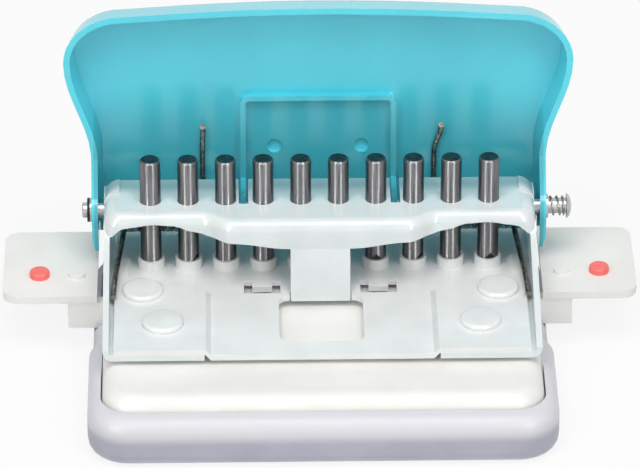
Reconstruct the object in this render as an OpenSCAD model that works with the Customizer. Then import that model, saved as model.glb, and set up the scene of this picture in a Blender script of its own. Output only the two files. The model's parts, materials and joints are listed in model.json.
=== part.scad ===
// Desk punch with ten pins for loose-leaf and coil-bound sheets.
// Frame: X along the pin row, +Y to the back, +Z up, origin on the table under the middle of the row.

/* [Punching] */
// Distance between neighbouring holes
pin_pitch = 9.5; // [9:0.1:10]
// Diameter of a punch pin
pin_d = 5.3; // [4.5:0.1:5.6]
// Length of a punch pin
pin_len = 29.7; // [27:0.1:32]
// Travel of the pins when the lever is pressed
pin_stroke = 9.4; // [8.5:0.1:9.6]
// Depth of the V cut in a pin's lower end
pin_notch = 2.9; // [1.5:0.1:4]
// Height of the pins' lower tips above the guide plate
pin_rest = 1.5; // [0.8:0.1:2.2]
// Thickness of the die plate
die_t = 2.5; // [1.5:0.1:3]

/* [Sheet metal] */
// Thickness of the frame and guide sheets
sheet = 1.5; // [1:0.1:1.8]
// Outside width of the frame
frame_w = 109.2; // [108:0.2:110]
// Height of the top plate above the guide plate
throat_h = 19.2; // [18:0.1:21]
// Front edge of the guide plate, ahead of the pin row
guide_front = 43.5; // [40:0.5:46]
// Back edge of the guide plate, behind the pin row
guide_back = 17; // [15:0.5:18]
// Back edge of the top plate, behind the pin row
plate_back = 10.4; // [9:0.1:11]
// Front edge of the top plate at its sides, ahead of the pin row
plate_front = 8; // [7:0.1:9]
// Extra reach of the top plate at its middle
plate_bulge = 4; // [2:0.1:5]
// Outside radius of the bend from the top plate to a side wall
top_bend = 4.5; // [2:0.1:5]
// Outside radius of the bend from a side wall to its foot
foot_bend = 2.6; // [1.8:0.1:3]
// Outside radius of the fold from the top plate to the front flange
fold_r = 3; // [1.8:0.1:4]
// Width of the tongue that ties the top plate to the guide plate
tongue_w = 15; // [10:0.5:18]
// Outside diameter of a drawn collar
collar_d = 6.8; // [6.2:0.1:7.4]
// Height of a drawn collar
collar_h = 2.8; // [2:0.1:3.5]
// Diameter of a rivet head
rivet_d = 10.4; // [8:0.2:11]
// Height of a rivet head
rivet_h = 1.5; // [1:0.1:2]

/* [Hinge] */
// Diameter of the hinge shaft
shaft_d = 4; // [3:0.1:4.6]
// Hinge axis behind the pin row
hinge_y = 9; // [8.6:0.1:9.6]
// Hinge axis above the guide plate
hinge_h = 11.4; // [11:0.1:12]
// Diameter of the shaft's domed head
head_d = 6.4; // [5:0.1:7]
// Diameter of the washers
washer_d = 6.2; // [6:0.1:8]
// Thickness of a washer and of the clip
washer_t = 0.6; // [0.5:0.1:1.2]
// Room for the small spring under the head
spring_room = 4.6; // [4:0.1:6]

/* [Lever] */
// Length of the lever from the hinge axis to the front rim
lever_len = 54.4; // [48:0.2:60]
// Reach of the lever below the hinge axis
lever_tail = 11; // [9:0.2:11.4]
// Gap between a side wall of the frame and the lever's cheek
cheek_gap = 1.6; // [0.6:0.1:2]
// Width of the lever at its flare
lever_flare_w = 128.8; // [122:0.2:134]
// Depth of the lever's skirt
lever_depth = 10.6; // [9:0.2:12]
// Wall of the lever
lever_wall = 1.6; // [1.4:0.1:2.4]
// Angle by which the raised lever leans back
lever_lean = 5; // [0:0.5:10]
// Height of the stiffening rib inside the lever
rib_h = 2.4; // [1:0.1:2.8]
// Width of the stiffening rib inside the lever
rib_w = 39.8; // [36:0.2:46]
// Thickness of the rib and its webs
rib_t = 1.4; // [1:0.1:2]
// Diameter of the two sink holes in the lever
lever_hole_d = 3.9; // [2:0.1:5]

/* [Return springs] */
// Wire of the return springs
coil_wire = 1.44; // [1:0.02:1.5]
// Mean diameter of the return springs' coils
coil_d = 8.5; // [8:0.1:8.8]
// Length of a coil
coil_len = 18.8; // [18.4:0.1:20]

/* [Base and tray] */
// Width of the base
base_w = 109.6; // [108:0.2:112]
// Front of the base, ahead of the pin row
base_front = 60; // [56:0.5:62]
// Back of the base, behind the pin row
base_back = 24; // [23.5:0.5:28]
// Height of the paper surface above the table
paper_h = 16.7; // [16:0.1:19]
// Room for the paper under the guide plate
paper_gap = 1.3; // [1:0.1:2]
// Wall of the base
base_wall = 2.2; // [1.6:0.1:2.6]
// Radius of the base's upper edge
base_edge_r = 4.5; // [2:0.1:6]
// Wall of the chip tray
tray_wall = 1.6; // [1.2:0.1:2]
// Width of the rim that the tray shows round the base
tray_rim = 3.6; // [3:0.1:6]
// Height of the tray's front rim above the table
tray_h = 13.4; // [12:0.1:14]
// Height of the tray's sides above the table
tray_side_h = 9.8; // [9:0.1:12]

/* [Side rests] */
// Reach of a rest beyond the middle of its stud
wing_reach = 9.25; // [7:0.25:14]
// Depth of a rest
wing_depth = 32; // [26:0.5:32]
// Thickness of a rest
wing_t = 2.2; // [1.8:0.1:2.6]
// Diameter of the red stud
stud_d = 5.1; // [4:0.1:5.4]
// Height of the red stud
stud_h = 1.8; // [1:0.1:2.5]
// Height of the low nub
nub_h = 0.9; // [0.4:0.1:0.9]

/* [Hidden] */
$fn = 48;

// Clearances: a running shaft, a sliding face, a seat; lap joins pieces of one solid
run_gap = 0.05;
slide_gap = 0.3;
seat_gap = 0.3;
over = 1;
lap = 0.2;

// Colours
ivory = "#f1f1ec";
paint = "#e9ebe8";
teal = "#55c8d8";
steel = "#8d8d90";
dark = "#26282b";
red = "#f2625c";
frost = "#c4c8d6";

// Heights
guide_low = paper_h + paper_gap;
guide_top = guide_low + sheet;
pad_top = guide_top + sheet;
plate_top = guide_top + throat_h;
plate_low = plate_top - sheet;
hinge_z = guide_top + hinge_h;

// Pin row
pin_count = 10;
pin_low = guide_top + pin_rest;
pin_chamfer = 0.4;
pin_turns = [80, 52, 90, 85, 90, 90, 4, 50, 90, 12];
row_half = pin_pitch * (pin_count - 1) / 2;
row_end = row_half + pin_d / 2;
function pin_x(i) = pin_pitch * (i - 1) - row_half;

// Frame: the wavy lower edge of its flange by distance in from the side and drop below the top plate
frame_half = frame_w / 2;
frame_in = frame_half - sheet;
wave_mid = [[0, 7.6], [8, 7.5]];
wave_side = [[32.6, 5.9], [26.6, 5.5], [22.6, 4.6], [17.6, 2.9], [12.6, 2.5], [5.6, 3.4], [0, 7]];
wave = concat(wave_mid, [for (s = wave_side) [frame_half - s[0], s[1]]]);
bulge_in = frame_half - 32.6;
bulge_out = frame_half - 24.6;
corner_plan = 3;
function ease(t) = (1 - cos(180 * t)) / 2;
function ramp(x, a, b) = ease(max(0, min(1, (x - a) / (b - a))));
function wave_drop(x, i = 0) = i >= len(wave) - 2 || x <= wave[i + 1][0]
    ? wave[i][1] + (wave[i + 1][1] - wave[i][1]) * ramp(x, wave[i][0], wave[i + 1][0])
    : wave_drop(x, i + 1);
// How far a rounded corner of radius r falls back at a distance x from the middle
function corner_fall(x, r) = r - sqrt(max(0, r * r - pow(max(0, abs(x) - frame_half + r), 2)));
function plate_edge(x) = -plate_front - plate_bulge * (1 - ramp(abs(x), bulge_in, bulge_out)) + corner_fall(x, corner_plan);
function plate_height(x) = plate_top - corner_fall(x, top_bend);
function flange_low(x) = plate_top - wave_drop(abs(x));
flange_edge = 0.3;
function fold(x) = min(fold_r, plate_height(x) - flange_low(x) - flange_edge);
flange_steps = 30;
bend_steps = 6;
half_span = concat([for (k = [0:flange_steps]) (frame_half - top_bend) * k / flange_steps],
                   [for (k = [1:bend_steps]) frame_half - top_bend + top_bend * sin(90 * k / bend_steps)]);
span = concat([for (k = [len(half_span) - 1:-1:1]) -half_span[k]], half_span);
wall_foot_h = 3;
lug_rise = 0.9;
lug_w = 4;
lug_y = [plate_back - 6, plate_back - 1];
hinge_lug = 4;

// Tongue, window and lanced tabs of the guide plate
tongue_foot = 15.6;
tongue_root = 5;
window_half = 10.6;
window_front = 37.2;
window_back = 15.5;
window_r = 2.5;
tab_x = 14.7;
slot_w = 9.2;
slot_y = [-14, -8];
tab_w = 5;
tab_len = 3;

// Raised pads over the frame's feet: corners by distance in from the frame's side
pad_side = foot_bend - sheet + 0.1;
pad_slope = 1.3;
pad_steps = [[5.7, 3], [5.7, -7], [15.1, -9], [22.1, -11.5], [25.4, -14]];
pad_in = 25.4;
rivet_steps = [[8.3, -15.3], [13.4, -30.7]];
rivet_spots = [for (s = rivet_steps) [frame_in - s[0], s[1]]];
rivet_shank = 5;
rivet_edge = 0.9;
screw_x = [-30, 0, 30];
screw_y = 12;
screw_d = 2.5;
screw_head_d = 5;
screw_head_t = 1.8;

// Paper stop, die and the way down for the chips
stop_front = 6;
die_half = row_end + 1;
stop_half = die_half + 0.1;
die_front = 4.6;
die_back = 5;
die_seat = 2.6;
die_rim = 1.4;
chip_slot = 3.6;
chip_half = row_end + slide_gap;

// Side rests
wing_in = frame_half + 1.9;
wing_front = 10;
wing_back = wing_depth - wing_front;
wing_r = 4;
wing_slide = 8.4;
wing_low = paper_h - wing_t;
notch_in = wing_in - wing_slide - 0.5;
arm_y = [-wing_front + 0.2, -wing_front + 3.6];
arm_h = 7.4;
arm_x = [wing_in - 16.5, wing_in + 7.5];
stud_x = row_half + 3 * pin_pitch;
nub_x = row_half + 2 * pin_pitch;
nub_d = 4.2;
peg_d = 2.6;
stud_taper = 0.4;
stud_edge = 1;
stud_edge_h = 0.4;

// Base and tray
base_low = tray_wall + seat_gap;
base_half = base_w / 2;
base_r = 8;
step_half = 32;
step_y = [-21, -wing_front - 1];
step_t = 0.5;
tray_half = base_half + tray_rim;
tray_side_half = tray_half - 0.9;
tray_front = base_front + tray_rim + 1.4;
tray_back = base_back + tray_rim;
tray_collar = 38;
tray_r = 10;
tray_edge_r = 4;
tray_inner_r = 1.2;
tray_notch = 6.2;
tray_notch_y = [-wing_front - 2, wing_back + 1];
tray_notch_in = 6;

// Lever, drawn lying on its back: X across, Y from the hinge to the front rim, Z towards its open side
lever_w = frame_w + 2 * (cheek_gap + lever_wall);
pin_clear = 0.6;
lever_in = plate_top + pin_len - throat_h + pin_rest - pin_stroke - hinge_z + pin_clear;
lever_out = lever_in + lever_wall;
lever_lip = lever_depth - lever_out;
cheek_in = lever_w / 2 - lever_wall;
ear_r = 5.2;
flare_mid = lever_len * 0.73;
flare_start = lever_len * 0.24;
corner_r = lever_len - flare_mid;
bow = 2;
tail_open = 6;
tail_front = 1.5;
tail_turn = 30;
tail_skirt = 1.6;
skirt_inset = 0.2;
taper_start = 3.6;
taper = 1;
rib_top = 27.4;
rib_foot = 7;
rib_r = 2.4;
hole_x = 11.1;
hole_y = 12.4;
hole_depth = 1;

// Webs midway between two pins, which run down through slots in the top plate, and their arms under it
web_shift = 0.2;
web_x = 2 * pin_pitch + web_shift;
web_gap = 0.5;
web_slot_front = 2;
web_hub = 4.6;
web_drop = 4.5;
arm_reach = 10.4;
arm_high = plate_low - seat_gap - hinge_z - 1.4;
arm_low = 1.1;
// A point behind and above the hinge axis, in the lever's own plane
function web_point(y, z) = [z * cos(lever_lean) + y * sin(lever_lean), z * sin(lever_lean) - y * cos(lever_lean)];

// Hinge hardware
clip_x = lever_w / 2 + washer_t;
head_x = lever_w / 2 + washer_t + spring_room;
head_t = 1.4;
stub = 1.3;
groove_d = shaft_d - 0.8;
clip_mouth = groove_d * 0.35;
small_wire = 0.5;
small_turns = 3;
small_gap = 0.1;
small_slack = 0.2;
closed_turn = 1 / small_turns;
closed_part = 0.17;

// Bar that ties the pins under the top plate, with a notch and a bridge at each web
bar_t = 1.2;
bar_front = 4.2;
bar_back = 3.6;
bar_end = row_end + 1.85;
notch_front = 4.6;
bridge_front = 7.2;
bridge_half = 4;

// Rounded rectangle from one corner to the other
module rounded(low, high, r) {
    translate([low[0] + r, low[1]]) square([high[0] - low[0] - 2 * r, high[1] - low[1]]);
    translate([low[0], low[1] + r]) square([high[0] - low[0], high[1] - low[1] - 2 * r]);
    for (x = [low[0] + r, high[0] - r], y = [low[1] + r, high[1] - r])
        translate([x, y]) circle(r);
}

// Box from one corner to the other
module block(low, high) translate(low) cube(high - low);

// Moulded box: round corners in plan and a round upper edge; the profile starts at foot and is cut off at low
module soft_box(near, far, low, high, r, edge_r, foot) hull()
    for (x = [near[0] + r, far[0] - r], y = [near[1] + r, far[1] - r]) translate([x, y, 0]) rotate_extrude($fn = 24)
        intersection() {
            rounded([-r, foot], [r, high], edge_r);
            translate([0, low]) square([r, high - low]);
        }

module both_sides() {
    children();
    mirror([1, 0, 0]) children();
}

// Cylinder along X from one place to another, on the hinge axis
module on_hinge(x0, x1, d) translate([x0, hinge_y, hinge_z]) rotate([0, 90, 0]) cylinder(d = d, h = x1 - x0);

// A flat outline in Y and Z, drawn out along X
module along_x(x0, x1) translate([x0, 0, 0]) rotate([90, 0, 90]) linear_extrude(x1 - x0) children();

// A flat outline in X and Z, drawn out along Y
module along_y(y0, y1) translate([0, y1, 0]) rotate([90, 0, 0]) linear_extrude(y1 - y0) children();

// Triangles across the end of a skin: a fan for a round outline, a strip for a symmetric or folded one
function fan(m) = [for (k = [1:m - 2]) [0, k, k + 1]];
function strip(m) = concat(
    [for (k = [0:floor(m / 2) - 2]) each [[k, k + 1, m - 2 - k], [k, m - 2 - k, m - 1 - k]]],
    m % 2 == 1 ? [[(m - 3) / 2, (m - 1) / 2, (m + 1) / 2]] : []);
// Solid through a row of outlines with as many points each
module skin(rings, ends) {
    m = len(rings[0]);
    n = len(rings);
    polyhedron(
        points = [for (r = rings) each r],
        faces = concat(
            ends,
            [for (i = [0:n - 2], k = [0:m - 1]) each let(j = (k + 1) % m, a = i * m, b = a + m)
                [[a + k, b + k, b + j], [a + k, b + j, a + j]]],
            [for (f = ends) [f[2], f[1], f[0]] + (n - 1) * m * [1, 1, 1]]));
}

// Tube along a list of points
tube_sides = 6;
function unit(v) = v / norm(v);
function heading(p, i) = unit(p[min(i + 1, len(p) - 1)] - p[max(i - 1, 0)]);
function ring(p, i, r) = let(t = heading(p, i), a = unit([1, 0, 0] - t * t[0]), b = cross(t, a))
    [for (k = [0:tube_sides - 1]) p[i] + r * (cos(360 * k / tube_sides) * a + sin(360 * k / tube_sides) * b)];
module tube(p, d) skin([for (i = [0:len(p) - 1]) ring(p, i, d / 2)], fan(tube_sides));
// Least free gap between stretches of a tube that lie more than half a curl apart
function self_gap(p, d, skip = 5) = min([for (i = [0:len(p) - 1 - skip], j = [i + skip:len(p) - 1])
    norm(p[i] - p[j])]) - d;

// Points of a return spring: foot on the guide pad, coil round the shaft, arm up the lever's inside
coil_rings = 8;
coil_x = -frame_in + 3.3;
foot_angle = -101;
arm_angle = -27;
coil_turns = 9;
coil_sweep = 360 * coil_turns + arm_angle - foot_angle;
coil_steps = ceil(coil_sweep / 360 * coil_rings);
wire_gap = 0.15;
foot_x = -frame_in + coil_wire / 2 + 0.2;
foot_y = -18;
foot_len = 1.4;
foot_lift = 1.2;
foot_run = 4;
foot_z = pad_top + coil_wire / 2 + wire_gap;
spring_arm = 16.4;
spring_tip = 2.2;
tip_shift_left = 0.9;
tip_shift_right = -2.4;
function lever_point(x, t, n) = [x, hinge_y + n * cos(lever_lean) + t * sin(lever_lean),
                                 hinge_z - n * sin(lever_lean) + t * cos(lever_lean)];
arm_n = lever_in - coil_wire / 2 - wire_gap;
// The coil is wide and hangs on the shaft, with room for its facets
coil_hang = 0.45;
coil_z = hinge_z - (coil_d - coil_wire - shaft_d) / 2 + coil_hang;
function coil_point(k) = let(a = foot_angle + coil_sweep * k / coil_steps)
    [coil_x + coil_len * k / coil_steps, hinge_y + coil_d / 2 * cos(a), coil_z + coil_d / 2 * sin(a)];
coil_end = coil_point(coil_steps);
function return_path(shift) = let(tip = lever_point(coil_end[0] + shift, spring_arm, arm_n)) concat(
    [[foot_x, foot_y - foot_len, foot_z], [foot_x, foot_y, foot_z], [foot_x + 0.2, foot_y + foot_run, foot_z + foot_lift]],
    [for (k = [0:coil_steps]) coil_point(k)],
    [coil_end + (tip - coil_end) * 0.5, tip, lever_point(coil_end[0] + shift, spring_arm + spring_tip, arm_n)]);
left_path = return_path(tip_shift_left);
right_path = return_path(tip_shift_right);

// Points of the small spring under the shaft's head
small_x = [lever_w / 2 + washer_t + small_wire / 2 + small_gap, head_x - small_wire / 2 - small_gap];
small_d = shaft_d + small_wire + 2 * small_slack;
// Share of the spring's length at a share of its turns: open turns first, then a closed one under the head
function small_along(s) = s < 1 - closed_turn ? s * (1 - closed_part) / (1 - closed_turn)
                                             : 1 - (1 - s) * closed_part / closed_turn;
small_path = [for (k = [0:small_turns * coil_rings]) let(s = k / (small_turns * coil_rings), a = 360 * small_turns * s)
    [small_x[0] + (small_x[1] - small_x[0]) * small_along(s), hinge_y + small_d / 2 * cos(a),
     hinge_z + small_d / 2 * sin(a)]];
echo(left_gap = self_gap(left_path, coil_wire), right_gap = self_gap(right_path, coil_wire),
     shaft_spring_gap = self_gap(small_path, small_wire));

module base() color(ivory) difference() {
    union() {
        difference() {
            soft_box([-base_half, -base_front], [base_half, base_back], base_low, paper_h, base_r, base_edge_r,
                     base_low - 2 * base_edge_r);
            block([-base_half + base_wall, -base_front + base_edge_r, -over],
                  [base_half - base_wall, base_back - base_wall, paper_h - base_wall]);
        }
        // Seat of the die
        block([-stop_half, -die_front - die_rim, paper_h - die_t - die_seat], [stop_half, die_back + 2 * die_rim, paper_h]);
        // Shelves that carry the side rests
        both_sides() block([notch_in - base_wall, -wing_front - base_wall, wing_low - slide_gap - base_wall],
                           [base_half, base_back - base_edge_r, paper_h - lap]);
    }
    // Die and the way down for the chips
    block([-die_half - run_gap, -die_front - run_gap, paper_h - die_t],
          [die_half + run_gap, die_back + run_gap, paper_h + over]);
    block([-chip_half, -chip_slot, base_low], [chip_half, chip_slot, paper_h]);
    // Runways of the side rests and of their arms
    both_sides() {
        block([notch_in, -wing_front - slide_gap, wing_low - slide_gap],
              [base_half + over, wing_back + slide_gap, paper_h + over]);
        block([notch_in - base_wall - over, arm_y[0] - slide_gap, wing_low - arm_h - slide_gap],
              [base_half + over, arm_y[1] + slide_gap, paper_h]);
    }
    // Shallow step under the window
    block([-step_half, step_y[0], paper_h - step_t], [step_half, step_y[1], paper_h + over]);
    // Screw holes
    for (x = screw_x) translate([x, screw_y, base_low]) cylinder(d = screw_d + 2 * run_gap, h = paper_h);
}

module die_plate() color(steel) difference() {
    block([-die_half, -die_front, paper_h - die_t], [die_half, die_back, paper_h]);
    for (i = [1:pin_count]) translate([pin_x(i), 0, paper_h - die_t - over])
        cylinder(d = pin_d + 2 * run_gap, h = die_t + 2 * over);
}

module paper_stop() color(ivory) difference() {
    block([-stop_half, stop_front, paper_h], [stop_half, guide_back, guide_low]);
    for (x = screw_x) translate([x, screw_y, paper_h - over])
        cylinder(d = screw_d + 2 * run_gap, h = paper_gap + 2 * over);
}

// Corners of the left raised pad, pulled in by an inset, from its front corner at the frame's side
function pad_outline(inset) = concat(
    [[-frame_half, -guide_front], [-frame_in + pad_in - inset, -guide_front]],
    [for (k = [len(pad_steps) - 1:-1:0]) [-frame_in + pad_steps[k][0] - inset, pad_steps[k][1] - inset]],
    [[-frame_half, pad_steps[0][1] - inset]]);
// Raised pad whose edge slopes over one sheet's height, from a level below that edge
module pad(low, edge) skin(
    [for (l = [[low, 0], [edge, 0], [edge + sheet, pad_slope]]) [for (p = pad_outline(l[1])) [p[0], p[1], l[0]]]],
    fan(len(pad_steps) + 3));

module guide_plate() color(paint) difference() {
    union() {
        difference() {
            union() {
                block([-frame_in + pad_side, -guide_front, guide_low], [frame_in - pad_side, guide_back, guide_top]);
                both_sides() intersection() {
                    pad(guide_low, guide_top);
                    block([-frame_in + pad_side, -guide_front, guide_low], [0, guide_back, pad_top]);
                }
            }
            both_sides() pad(guide_low - over, guide_low);
        }
        for (i = [1:pin_count]) translate([pin_x(i), 0, guide_low]) cylinder(d = collar_d, h = sheet + collar_h);
    }
    for (i = [1:pin_count]) translate([pin_x(i), 0, guide_low - over])
        cylinder(d = pin_d + 2 * run_gap, h = sheet + collar_h + 2 * over);
    // Window and the notch for the tongue
    translate([0, 0, guide_low - over]) linear_extrude(sheet + 2 * over)
        rounded([-window_half, -window_front], [window_half, -window_back], window_r);
    block([-tongue_w / 2 - slide_gap, -window_back - over, guide_low - over],
          [tongue_w / 2 + slide_gap, -tongue_foot + sheet + 2 * slide_gap, guide_top + over]);
    // Lanced tabs
    both_sides() difference() {
        block([tab_x - slot_w / 2, slot_y[0], guide_low - over], [tab_x + slot_w / 2, slot_y[1], guide_top + over]);
        block([tab_x - tab_w / 2, slot_y[1] - tab_len, guide_low - over], [tab_x + tab_w / 2, slot_y[1], guide_top + over]);
    }
    both_sides() for (s = rivet_spots) translate([s[0], s[1], guide_low - over])
        cylinder(d = rivet_shank + 2 * run_gap, h = 2 * sheet + 2 * over);
    for (x = screw_x) translate([x, screw_y, guide_low - over])
        cylinder(d = screw_d + 2 * run_gap, h = sheet + 2 * over);
}

// The frame's sheet seen from the front, closed all round, with one radius at its bends
module frame_loop(r) difference() {
    rounded([-frame_half, guide_low], [frame_half, plate_top], r);
    rounded([-frame_in, guide_low + sheet], [frame_in, plate_low], r - sheet);
}

// Outline of the flange where the frame is cut at x: outer side down, inner side up
arc_steps = 4;
function flange_ring(x) = let(y = plate_edge(x), z = plate_height(x), r = fold(x)) concat(
    [[x, y + r + over, z]],
    [for (k = [0:arc_steps]) let(a = 90 * k / arc_steps) [x, y + r - r * sin(a), z - r + r * cos(a)]],
    [[x, y, flange_low(x)], [x, y + sheet, flange_low(x)]],
    [for (k = [arc_steps:-1:0]) let(a = 90 * k / arc_steps)
        [x, y + r - (r - sheet) * sin(a), z - r + (r - sheet) * cos(a)]],
    [[x, y + r + over, z - sheet]]);

module punch_frame() color(paint) difference() {
    union() {
        // Top plate with the bends at its sides
        intersection() {
            along_y(-plate_front - plate_bulge, plate_back) frame_loop(top_bend);
            translate([0, 0, plate_top - top_bend]) linear_extrude(top_bend) polygon(concat(
                [for (x = span) [x, plate_edge(x) + fold(x)]], [[frame_half, plate_back], [-frame_half, plate_back]]));
        }
        // Side walls with a sloping front edge and a rounded hinge lug
        both_sides() along_x(-frame_half, -frame_in) {
            polygon([[-guide_front, guide_low + foot_bend - lap], [guide_back, guide_low + foot_bend - lap],
                     [hinge_y + shaft_d / 2 + hinge_lug, hinge_z - shaft_d / 2 - hinge_lug],
                     [plate_back + lug_rise, plate_top - top_bend + lap], [-plate_front + fold_r, plate_top - top_bend + lap],
                     [-plate_front - flange_edge, flange_low(frame_half) + flange_edge], [-guide_front, guide_low + wall_foot_h]]);
            translate([hinge_y, hinge_z]) circle(d = shaft_d + 2 * hinge_lug);
        }
        // Feet and their bends
        intersection() {
            along_y(-guide_front, guide_back) frame_loop(foot_bend);
            translate([0, 0, guide_low]) linear_extrude(foot_bend) both_sides() {
                polygon(pad_outline(pad_slope + slide_gap));
                translate([-frame_half, -guide_front]) square([foot_bend, guide_front + guide_back]);
            }
        }
        // Raised corners at the back
        intersection() {
            translate([0, 0, lug_rise]) along_y(lug_y[0], lug_y[1]) frame_loop(top_bend);
            both_sides() block([-frame_half, lug_y[0], plate_top - top_bend], [-frame_half + lug_w, lug_y[1], plate_top + over]);
        }
        // Front flange, folded down with a wavy lower edge
        skin([for (x = span) flange_ring(x)], strip(2 * arc_steps + 6));
        // Tongue down to the window
        along_x(-tongue_w / 2, tongue_w / 2) polygon([
            [plate_edge(0), plate_top - tongue_root], [plate_edge(0) + sheet, plate_top - tongue_root],
            [plate_edge(0) + sheet, flange_low(0)], [-tongue_foot + sheet, guide_low],
            [-tongue_foot, guide_low], [plate_edge(0), flange_low(0)]]);
    }
    for (i = [1:pin_count]) translate([pin_x(i), 0, plate_low - over])
        cylinder(d = pin_d + 2 * run_gap, h = sheet + 2 * over);
    // Slots for the lever's webs
    both_sides() block([web_x - rib_t / 2 - web_gap, -web_slot_front, plate_low - over],
                       [web_x + rib_t / 2 + web_gap, plate_back + over, plate_top + over]);
    on_hinge(-frame_w, frame_w, shaft_d + 2 * run_gap);
    both_sides() for (s = rivet_spots) translate([s[0], s[1], guide_low - over])
        cylinder(d = rivet_shank + 2 * run_gap, h = sheet + 2 * over);
}

module rivet() {
    translate([0, 0, guide_low]) cylinder(d = rivet_shank, h = 2 * sheet + rivet_h / 2);
    translate([0, 0, pad_top]) rotate_extrude() intersection() {
        rounded([-rivet_d / 2, -rivet_h], [rivet_d / 2, rivet_h], rivet_edge);
        square([rivet_d / 2, rivet_h]);
    }
}

module frame_rivets() color(paint) both_sides() for (s = rivet_spots) translate([s[0], s[1], 0]) rivet();

module base_screws() color(steel) for (x = screw_x) translate([x, screw_y, 0]) {
    translate([0, 0, paper_h - base_wall - screw_head_t]) cylinder(d = screw_head_d, h = screw_head_t);
    translate([0, 0, paper_h - base_wall - screw_head_t]) cylinder(d = screw_d, h = guide_top - paper_h + base_wall + screw_head_t);
}

module return_spring_left() color(steel) tube(left_path, coil_wire);
module return_spring_right() color(steel) mirror([1, 0, 0]) tube(right_path, coil_wire);

// Half width of the lever at a distance from the hinge, up to where its corner starts
function lever_half(t) = lever_w / 2 + (lever_flare_w - lever_w) / 2 * ramp(t, flare_start, flare_mid);
corner_w = lever_flare_w / 2 - corner_r;
side_steps = 14;
corner_steps = 8;
rim_steps = 6;
corner_turn = 80;
// Right half of the lever's outline, pulled in by an inset, from the tail to the middle of the rim
function half_outline(inset) = concat(
    [for (k = [0:side_steps]) let(t = -lever_tail + (flare_mid + lever_tail) * k / side_steps)
        [lever_half(t) - inset, t]],
    [for (k = [1:corner_steps]) let(a = corner_turn * k / corner_steps)
        [corner_w + (corner_r - inset) * cos(a), flare_mid + (corner_r - bow - inset) * sin(a)]],
    [for (k = [1:rim_steps]) let(s = k / rim_steps, a = corner_turn)
        [(corner_w + (corner_r - inset) * cos(a)) * (1 - s),
         flare_mid + (corner_r - bow - inset) * sin(a) + (bow + (corner_r - bow - inset) * (1 - sin(a))) * sin(90 * s)]]);
function outline(inset) = let(h = half_outline(inset), n = len(h))
    concat(h, [for (k = [n - 2:-1:0]) [-h[k][0], h[k][1]]]);
// Levels of the shell: height towards the open side, inset of the outline there
draft = 1.2;
edge_r = 3.2;
edge_steps = 4;
skirt_half = lever_w / 2 - draft - edge_r;
outer_levels = concat(
    [for (k = [0:edge_steps]) let(a = 90 * k / edge_steps)
        [-lever_out + edge_r * (1 - cos(a)), draft + edge_r * (1 - sin(a))]],
    [[lever_lip, 0]]);
inner_levels = [[-lever_in, draft + lever_wall], [lever_lip + over, lever_wall - draft * over / lever_depth]];
module loft(levels) skin([for (l = levels) [for (p = outline(l[1])) [p[0], p[1], l[0]]]], strip(len(outline(0))));

// Web from the rib to the hinge, with its arm under the top plate
module web() translate([web_x - rib_t / 2, 0, 0]) rotate([90, 0, 90]) linear_extrude(rib_t) {
    circle(web_hub);
    polygon([[rib_top, -lever_in - lever_wall / 2], [rib_top, -lever_in + rib_h],
             [arm_high, -lever_in + rib_h], web_point(-arm_reach, arm_high), web_point(-arm_reach, arm_low),
             [-web_drop, 0], [-web_drop, -lever_in - lever_wall / 2]]);
}

module lever_flat() difference() {
    union() {
        difference() {
            loft(outer_levels);
            loft(inner_levels);
            // Open tail
            block([-cheek_in, -lever_tail - over, -lever_in], [cheek_in, -lever_tail + tail_open, lever_lip + over]);
        }
        // Cheeks that carry the shaft
        both_sides() translate([cheek_in, 0, 0]) rotate([90, 0, 90]) linear_extrude(lever_wall) {
            circle(ear_r);
            polygon([[-lever_tail, -lever_in], [-lever_tail, tail_front], [-ear_r * sin(tail_turn), ear_r * cos(tail_turn)],
                     [0, ear_r], [flare_start, lever_lip], [flare_start, -lever_in]]);
        }
        // Skirt of the panel below its open tail
        block([-skirt_half, -lever_tail - tail_skirt, -lever_out + skirt_inset],
              [skirt_half, -lever_tail + tail_open / 2, -lever_in - skirt_inset]);
        // Stiffening rib between the webs
        translate([0, 0, -lever_in - lever_wall / 2]) linear_extrude(rib_h + lever_wall / 2) difference() {
            rounded([-rib_w / 2, rib_foot], [rib_w / 2, rib_top], rib_r);
            rounded([-rib_w / 2 + rib_t, -rib_foot], [rib_w / 2 - rib_t, rib_top - rib_t], rib_r - rib_t);
        }
        both_sides() intersection() {
            web();
            block([0, -lever_len, -lever_out], [lever_w, rib_top - rib_r, lever_len]);
        }
    }
    translate([-lever_w, 0, 0]) rotate([0, 90, 0]) cylinder(d = shaft_d + 2 * run_gap, h = 2 * lever_w);
    // Cheeks tapered to a point at the tail
    both_sides() translate([0, 0, -lever_out - over]) linear_extrude(2 * lever_out) polygon([
        [lever_w / 2 + over, -taper_start], [lever_w / 2 - taper, -lever_tail - over], [lever_w, -lever_tail - over],
        [lever_w, -taper_start]]);
    both_sides() translate([hole_x, hole_y, -lever_in - hole_depth]) cylinder(d = lever_hole_d, h = hole_depth + over);
}

module lever_shell() color(teal) translate([0, hinge_y, hinge_z]) rotate([90 - lever_lean, 0, 0]) lever_flat();

module washer(x0) difference() {
    on_hinge(x0, x0 + washer_t, washer_d);
    on_hinge(x0 - over, x0 + washer_t + over, shaft_d + 4 * run_gap);
}
module washer_left() color(steel) washer(-lever_w / 2 - washer_t);
module washer_right() color(steel) washer(lever_w / 2);

module hinge_shaft() color(steel) difference() {
    union() {
        on_hinge(-clip_x - washer_t - stub, head_x + head_t / 2, shaft_d);
        // Domed head
        translate([head_x, hinge_y, hinge_z]) rotate([0, 90, 0]) intersection() {
            cylinder(d = head_d, h = head_t);
            translate([0, 0, head_t - head_d * 0.7]) sphere(head_d * 0.7);
        }
    }
    difference() {
        on_hinge(-clip_x - washer_t - run_gap, -clip_x + run_gap, shaft_d + 1);
        on_hinge(-clip_x - washer_t - over, -clip_x + over, groove_d);
    }
}

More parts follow.
